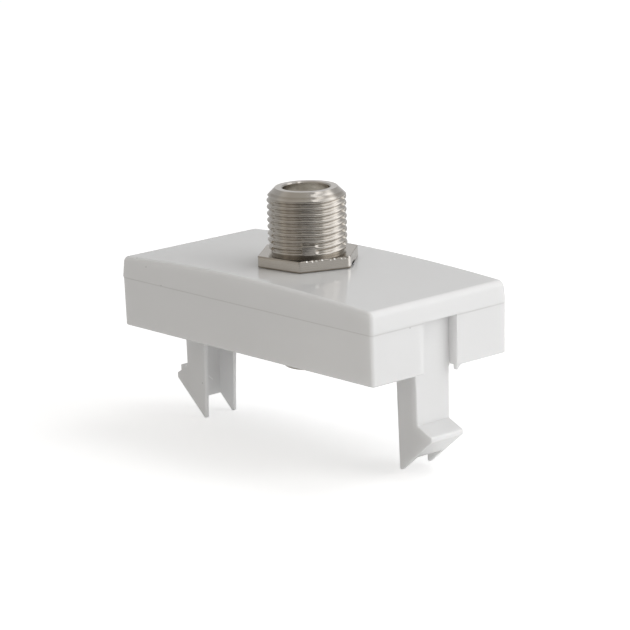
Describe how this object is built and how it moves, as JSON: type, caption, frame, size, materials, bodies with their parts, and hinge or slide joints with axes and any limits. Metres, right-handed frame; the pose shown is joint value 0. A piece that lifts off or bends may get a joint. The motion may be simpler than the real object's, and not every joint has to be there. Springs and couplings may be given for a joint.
{
  "type": "tv antenna socket module",
  "caption": "White half-width socket module with a double-ended threaded coaxial port clamped through its arched plate and two barbed snap legs below.",
  "frame": {"origin": "on the axis of the coaxial port, in the plane of the housing's lower rim", "axes": "+Z out of the front port, +X along the long side towards the leg with the sloped barb, +Y across the module"},
  "size_m": [0.0459, 0.0216, 0.0314],
  "materials": {
    "housing": "moulded, semi-gloss",
    "plated_metal": "nickel plated, machined",
    "insulator": "moulded",
    "contact": "drawn"
  },
  "bodies": {
    "root": {"module_housing": "housing", "port_body": "plated_metal", "front_insulator": "insulator", "rear_insulator": "insulator", "centre_contact": "contact", "lock_washer": "plated_metal", "lock_nut": "plated_metal"}
  },
  "joints": []
}
